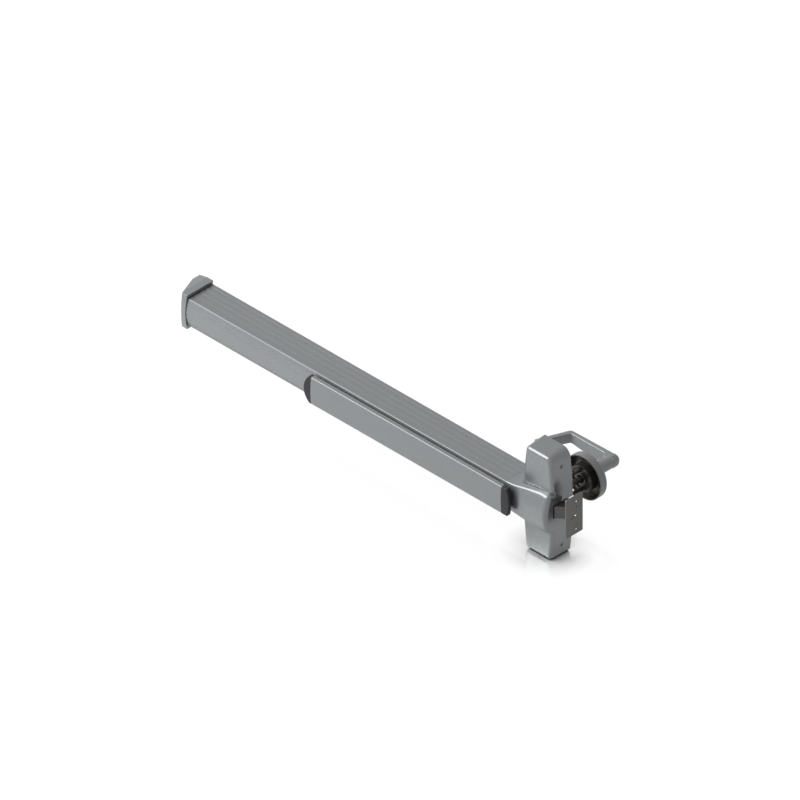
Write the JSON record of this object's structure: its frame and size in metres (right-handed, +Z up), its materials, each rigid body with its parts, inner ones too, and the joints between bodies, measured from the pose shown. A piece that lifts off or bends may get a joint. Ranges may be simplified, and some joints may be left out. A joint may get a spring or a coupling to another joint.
{
  "type": "panic bar",
  "caption": "Touch-bar exit device for a door: spring push pad in a rail, latch head with a sculpted cover, rim strike and outside lever trim.",
  "frame": {"origin": "centre of the head chassis screw pattern, in the face that lies on the door, at the height of the latch", "axes": "+X along the bar from its far end to the latch, +Y from the room through the door, +Z up"},
  "size_m": [0.9492, 0.2304, 0.22],
  "materials": {
    "anodised_aluminium": "clear anodised, satin",
    "silver_painted_casting": "fine silver paint on a casting",
    "charcoal_plastic": "moulded, fine grain",
    "zinc_plated_steel": "zinc plated",
    "bright_steel": "bright turned",
    "spring_steel": "oiled wire",
    "latch_steel": "sintered, satin",
    "strike_steel": "warm grey finish",
    "satin_chrome": "satin plated",
    "cast_zinc": "raw die casting",
    "pale_nylon": "moulded nylon"
  },
  "bodies": {
    "device": {"rail": "anodised_aluminium", "rail_filler": "anodised_aluminium", "head_cover": "silver_painted_casting", "end_cap": "silver_painted_casting", "head_chassis": "zinc_plated_steel", "rail_tongue": "zinc_plated_steel", "latch_guide": "zinc_plated_steel", "end_bracket": "zinc_plated_steel", "crank_bracket_left": "zinc_plated_steel", "crank_bracket_right": "zinc_plated_steel", "crank_pivot_left": "bright_steel", "crank_pivot_right": "bright_steel", "trim_post_upper": "bright_steel", "trim_post_lower": "bright_steel", "through_bolt_upper": "bright_steel", "through_bolt_lower": "bright_steel", "cover_screws": "bright_steel", "end_cap_screws": "bright_steel", "rod_spring": "spring_steel", "latch_spring": "spring_steel", "strike": "strike_steel", "rose": "satin_chrome", "trim_housing": "cast_zinc", "rod_guide_left": "pale_nylon", "rod_guide_right": "pale_nylon"},
    "pad": {"push_pad": "anodised_aluminium", "pad_end_cap_left": "charcoal_plastic", "pad_end_cap_right": "charcoal_plastic", "pad_carrier_left": "zinc_plated_steel", "pad_carrier_right": "zinc_plated_steel", "pad_pin_left": "bright_steel", "pad_pin_right": "bright_steel"},
    "crank_left": {"bell_crank_left": "zinc_plated_steel"},
    "crank_right": {"bell_crank_right": "zinc_plated_steel"},
    "rod": {"actuator_rod": "zinc_plated_steel", "pull_fork": "zinc_plated_steel", "rod_pin_left": "bright_steel", "rod_pin_right": "bright_steel"},
    "latch": {"latch_bolt": "latch_steel", "latch_stem": "zinc_plated_steel", "stem_collar": "zinc_plated_steel"},
    "handle": {"lever": "satin_chrome", "spindle": "zinc_plated_steel", "trim_cam": "zinc_plated_steel"}
  },
  "joints": [
    {"name": "pad_push", "type": "slide", "parent": "device", "child": "pad", "axis": [0, 1, 0], "range_m": [0, 0.008], "stiffness_N_per_m": 1500, "springref_m": -0.008},
    {"name": "crank_left_turn", "type": "hinge", "parent": "device", "child": "crank_left", "pos_m": [-0.456, -0.048, -0.005], "axis": [0, 0, 1], "range_deg": [0, 28.08]},
    {"name": "crank_right_turn", "type": "hinge", "parent": "device", "child": "crank_right", "pos_m": [-0.147, -0.048, -0.005], "axis": [0, 0, 1], "range_deg": [0, 28.08]},
    {"name": "rod_pull", "type": "slide", "parent": "device", "child": "rod", "axis": [-1, 0, 0], "range_m": [0, 0.01801], "stiffness_N_per_m": 200, "springref_m": -0.02, "deforming": ["rod_spring"]},
    {"name": "latch_draw", "type": "slide", "parent": "device", "child": "latch", "axis": [-1, 0, 0], "range_m": [0, 0.01801], "stiffness_N_per_m": 300, "springref_m": -0.012, "deforming": ["latch_spring"]},
    {"name": "lever_turn", "type": "hinge", "parent": "device", "child": "handle", "pos_m": [0, 0.1, 0], "axis": [0, 1, 0], "range_deg": [-45, 45], "stiffness_Nm_per_rad": 6, "springref_deg": 1.72}
  ],
  "couplings": [
    {"joint": "crank_left_turn", "follows": "pad_push", "rad_per_m": 61.24},
    {"joint": "crank_right_turn", "follows": "pad_push", "rad_per_m": 61.24},
    {"joint": "rod_pull", "follows": "pad_push", "ratio": 2.25},
    {"joint": "latch_draw", "follows": "pad_push", "ratio": 2.25}
  ]
}
